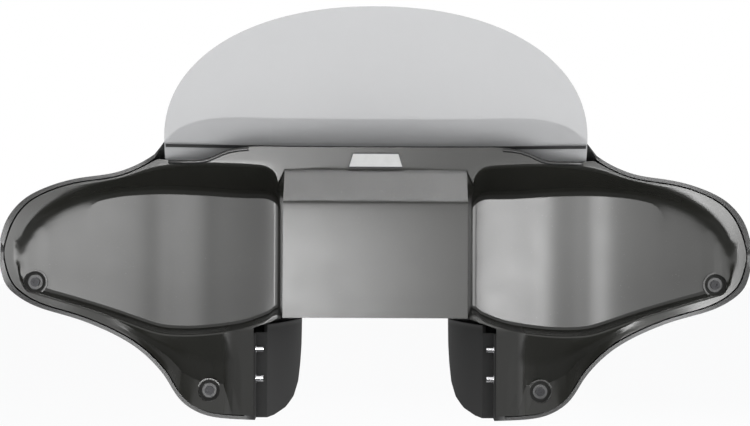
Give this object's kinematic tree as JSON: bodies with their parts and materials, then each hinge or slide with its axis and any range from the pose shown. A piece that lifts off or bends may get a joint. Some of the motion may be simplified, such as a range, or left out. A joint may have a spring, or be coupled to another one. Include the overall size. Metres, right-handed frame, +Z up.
{
  "type": "motorcycle fairing",
  "caption": "Fork-mounted batwing fairing for a cruiser: gloss outer shell, inner panel with a central box and side pockets, and a raked clear windshield.",
  "frame": {"origin": "middle of the four bracket studs that carry the fairing on the fork", "axes": "+X to the rider's right, +Y forward along the motorcycle, +Z up"},
  "size_m": [0.866, 0.2812, 0.4753],
  "materials": {
    "outer_shell": "high gloss moulded fibreglass",
    "inner_panel": "high gloss moulded fibreglass",
    "windshield": "clear sheet under a hazy protective film",
    "seal_rubber": "matte",
    "strip": "satin",
    "black_steel": "black oxide",
    "black_nylon": "satin",
    "zinc": "zinc plated",
    "brass": "machined",
    "stud_chrome": "polished",
    "badge_metal": "satin with a dark edge"
  },
  "bodies": {
    "root": {"outer_shell": "outer_shell", "inner_panel": "inner_panel", "windshield": "windshield", "windshield_seal": "seal_rubber", "windshield_strip": "strip", "windshield_screws": "black_steel", "windshield_washers": "black_nylon", "windshield_nuts": "zinc", "wing_screws": "black_steel", "leg_screws": "black_steel", "wing_screw_washers": "black_nylon", "leg_screw_washers": "black_nylon", "boss_inserts": "brass", "backing_plate_left": "zinc", "backing_plate_right": "zinc", "bracket_studs_left": "stud_chrome", "bracket_studs_right": "stud_chrome", "stud_washers_left": "stud_chrome", "stud_washers_right": "stud_chrome", "badge_plate": "badge_metal"}
  },
  "joints": []
}
